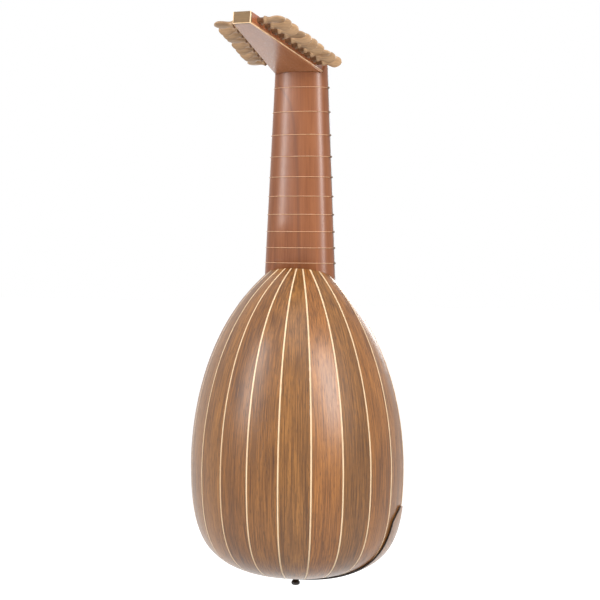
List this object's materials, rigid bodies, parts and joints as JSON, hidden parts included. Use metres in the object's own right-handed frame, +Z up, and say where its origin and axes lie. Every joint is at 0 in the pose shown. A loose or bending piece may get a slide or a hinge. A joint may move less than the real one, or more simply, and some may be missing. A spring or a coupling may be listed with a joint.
{
  "type": "renaissance lute",
  "caption": "Ten-course renaissance lute with a ribbed walnut bowl, bent-back pegbox and turning pegs.",
  "frame": {"origin": "centre of the place on the pegbox's flat back plate where a hanger or stand fork holds the lute", "axes": "+Z up along the neck towards the pegbox, +Y out of the back of the bowl, +X to the treble side"},
  "size_m": [0.3034, 0.2422, 0.7585],
  "materials": {
    "ribs": "satin varnished walnut",
    "spacers": "satin varnished holly",
    "neck": "glossy varnished pear wood",
    "cap": "satin varnished olive wood",
    "ebony": "polished ebony",
    "nut": "polished bone",
    "bridge": "satin plum wood",
    "soundboard": "bare spruce",
    "pegs": "polished boxwood",
    "gut": "plain gut"
  },
  "bodies": {
    "lute_body": {"rib_01": "ribs", "rib_02": "ribs", "rib_03": "ribs", "rib_04": "ribs", "rib_05": "ribs", "rib_06": "ribs", "rib_07": "ribs", "rib_08": "ribs", "rib_09": "ribs", "rib_10": "ribs", "rib_11": "ribs", "rib_spacers": "spacers", "end_clasp": "ribs", "end_button": "ebony", "soundboard": "soundboard", "rose": "soundboard", "bridge": "bridge", "soundboard_bar_1": "soundboard", "soundboard_bar_2": "soundboard", "soundboard_bar_3": "soundboard", "soundboard_bar_4": "soundboard", "neck_block": "soundboard", "end_block": "soundboard", "neck": "neck", "fingerboard": "ebony", "nut": "nut", "pegbox_back_plate": "neck", "bass_cheek": "neck", "treble_cheek": "neck", "pegbox_end_cap": "cap", "fret_01": "gut", "fret_02": "gut", "fret_03": "gut", "fret_04": "gut", "fret_05": "gut", "fret_06": "gut", "fret_07": "gut", "fret_08": "gut", "fret_09": "gut", "fret_10": "gut", "strings": "gut"},
    "bass_tuner_01": {"bass_peg_01": "pegs"},
    "bass_tuner_02": {"bass_peg_02": "pegs"},
    "bass_tuner_03": {"bass_peg_03": "pegs"},
    "bass_tuner_04": {"bass_peg_04": "pegs"},
    "bass_tuner_05": {"bass_peg_05": "pegs"},
    "bass_tuner_06": {"bass_peg_06": "pegs"},
    "bass_tuner_07": {"bass_peg_07": "pegs"},
    "bass_tuner_08": {"bass_peg_08": "pegs"},
    "bass_tuner_09": {"bass_peg_09": "pegs"},
    "bass_tuner_10": {"bass_peg_10": "pegs"},
    "treble_tuner_01": {"treble_peg_01": "pegs"},
    "treble_tuner_02": {"treble_peg_02": "pegs"},
    "treble_tuner_03": {"treble_peg_03": "pegs"},
    "treble_tuner_04": {"treble_peg_04": "pegs"},
    "treble_tuner_05": {"treble_peg_05": "pegs"},
    "treble_tuner_06": {"treble_peg_06": "pegs"},
    "treble_tuner_07": {"treble_peg_07": "pegs"},
    "treble_tuner_08": {"treble_peg_08": "pegs"},
    "treble_tuner_09": {"treble_peg_09": "pegs"}
  },
  "joints": [
    {"name": "bass_peg_01_turn", "type": "hinge", "parent": "lute_body", "child": "bass_tuner_01", "pos_m": [-0.01326, 0.16746, 0.03403], "axis": [-1, 0, 0], "continuous": true},
    {"name": "bass_peg_02_turn", "type": "hinge", "parent": "lute_body", "child": "bass_tuner_02", "pos_m": [-0.0153, 0.14741, 0.03114], "axis": [-1, 0, 0], "continuous": true},
    {"name": "bass_peg_03_turn", "type": "hinge", "parent": "lute_body", "child": "bass_tuner_03", "pos_m": [-0.01735, 0.12737, 0.02826], "axis": [-1, 0, 0], "continuous": true},
    {"name": "bass_peg_04_turn", "type": "hinge", "parent": "lute_body", "child": "bass_tuner_04", "pos_m": [-0.01939, 0.10733, 0.02537], "axis": [-1, 0, 0], "continuous": true},
    {"name": "bass_peg_05_turn", "type": "hinge", "parent": "lute_body", "child": "bass_tuner_05", "pos_m": [-0.02143, 0.08729, 0.02248], "axis": [-1, 0, 0], "continuous": true},
    {"name": "bass_peg_06_turn", "type": "hinge", "parent": "lute_body", "child": "bass_tuner_06", "pos_m": [-0.02347, 0.06724, 0.01959], "axis": [-1, 0, 0], "continuous": true},
    {"name": "bass_peg_07_turn", "type": "hinge", "parent": "lute_body", "child": "bass_tuner_07", "pos_m": [-0.02552, 0.0472, 0.0167], "axis": [-1, 0, 0], "continuous": true},
    {"name": "bass_peg_08_turn", "type": "hinge", "parent": "lute_body", "child": "bass_tuner_08", "pos_m": [-0.02756, 0.02716, 0.01381], "axis": [-1, 0, 0], "continuous": true},
    {"name": "bass_peg_09_turn", "type": "hinge", "parent": "lute_body", "child": "bass_tuner_09", "pos_m": [-0.0296, 0.00711, 0.01093], "axis": [-1, 0, 0], "continuous": true},
    {"name": "bass_peg_10_turn", "type": "hinge", "parent": "lute_body", "child": "bass_tuner_10", "pos_m": [-0.03165, -0.01293, 0.00804], "axis": [-1, 0, 0], "continuous": true},
    {"name": "treble_peg_01_turn", "type": "hinge", "parent": "lute_body", "child": "treble_tuner_01", "pos_m": [0.01428, 0.15744, 0.03259], "axis": [1, 0, 0], "continuous": true},
    {"name": "treble_peg_02_turn", "type": "hinge", "parent": "lute_body", "child": "treble_tuner_02", "pos_m": [0.01632, 0.13739, 0.0297], "axis": [1, 0, 0], "continuous": true},
    {"name": "treble_peg_03_turn", "type": "hinge", "parent": "lute_body", "child": "treble_tuner_03", "pos_m": [0.01837, 0.11735, 0.02681], "axis": [1, 0, 0], "continuous": true},
    {"name": "treble_peg_04_turn", "type": "hinge", "parent": "lute_body", "child": "treble_tuner_04", "pos_m": [0.02041, 0.09731, 0.02392], "axis": [1, 0, 0], "continuous": true},
    {"name": "treble_peg_05_turn", "type": "hinge", "parent": "lute_body", "child": "treble_tuner_05", "pos_m": [0.02245, 0.07727, 0.02104], "axis": [1, 0, 0], "continuous": true},
    {"name": "treble_peg_06_turn", "type": "hinge", "parent": "lute_body", "child": "treble_tuner_06", "pos_m": [0.0245, 0.05722, 0.01815], "axis": [1, 0, 0], "continuous": true},
    {"name": "treble_peg_07_turn", "type": "hinge", "parent": "lute_body", "child": "treble_tuner_07", "pos_m": [0.02654, 0.03718, 0.01526], "axis": [1, 0, 0], "continuous": true},
    {"name": "treble_peg_08_turn", "type": "hinge", "parent": "lute_body", "child": "treble_tuner_08", "pos_m": [0.02858, 0.01714, 0.01237], "axis": [1, 0, 0], "continuous": true},
    {"name": "treble_peg_09_turn", "type": "hinge", "parent": "lute_body", "child": "treble_tuner_09", "pos_m": [0.03063, -0.00291, 0.00948], "axis": [1, 0, 0], "continuous": true}
  ]
}
